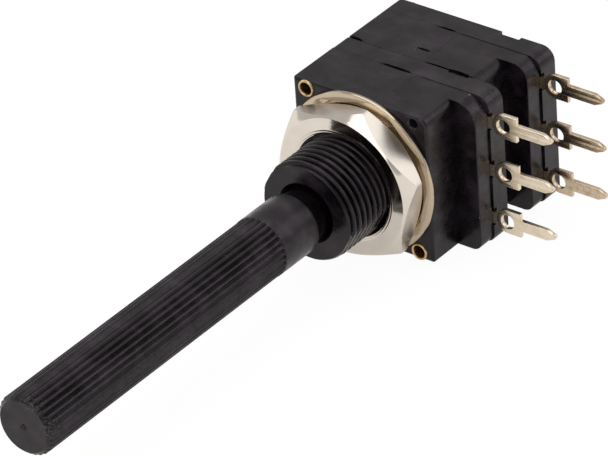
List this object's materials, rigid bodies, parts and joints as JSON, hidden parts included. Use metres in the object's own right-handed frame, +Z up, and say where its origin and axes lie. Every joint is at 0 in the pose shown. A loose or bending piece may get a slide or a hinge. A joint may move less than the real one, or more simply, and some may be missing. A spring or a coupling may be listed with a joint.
{
  "type": "rotary potentiometer",
  "caption": "Two-gang rotary potentiometer: a splined plastic shaft turns both wipers, held by a threaded panel bush with washer and hex nut.",
  "frame": {"origin": "on the shaft axis at the panel face of the body, where the threaded bush leaves it", "axes": "-Y along the shaft, away from the body; +X towards the terminals; +Z up"},
  "size_m": [0.0246, 0.0644, 0.016],
  "materials": {
    "housing_plastic": "satin black moulded thermoplastic",
    "plate_plastic": "satin black moulded thermoplastic",
    "shaft_plastic": "satin black moulded thermoplastic",
    "rotor_plastic": "natural moulded acetal",
    "spring_metal": "rolled phosphor bronze",
    "track_board": "paper laminate board with a printed carbon track",
    "terminal_metal": "stamped brass with a thin pale plating",
    "rivet_brass": "drawn brass",
    "plated_steel": "bright nickel plate"
  },
  "bodies": {
    "housing": {"front_housing": "housing_plastic", "rear_housing": "housing_plastic", "front_base_plate": "plate_plastic", "rear_base_plate": "plate_plastic", "front_track_board": "track_board", "rear_track_board": "track_board", "front_terminal_upper": "terminal_metal", "front_terminal_middle": "terminal_metal", "front_terminal_lower": "terminal_metal", "rear_terminal_upper": "terminal_metal", "rear_terminal_middle": "terminal_metal", "rear_terminal_lower": "terminal_metal", "upper_rivet": "rivet_brass", "lower_rivet": "rivet_brass", "washer": "plated_steel", "hex_nut": "plated_steel"},
    "spindle": {"shaft": "shaft_plastic", "front_rotor": "rotor_plastic", "rear_rotor": "rotor_plastic", "front_wiper": "spring_metal", "rear_wiper": "spring_metal"}
  },
  "joints": [
    {"name": "shaft_turn", "type": "hinge", "parent": "housing", "child": "spindle", "pos_m": [0, 0, 0], "axis": [0, 1, 0], "range_deg": [-150, 150]}
  ]
}
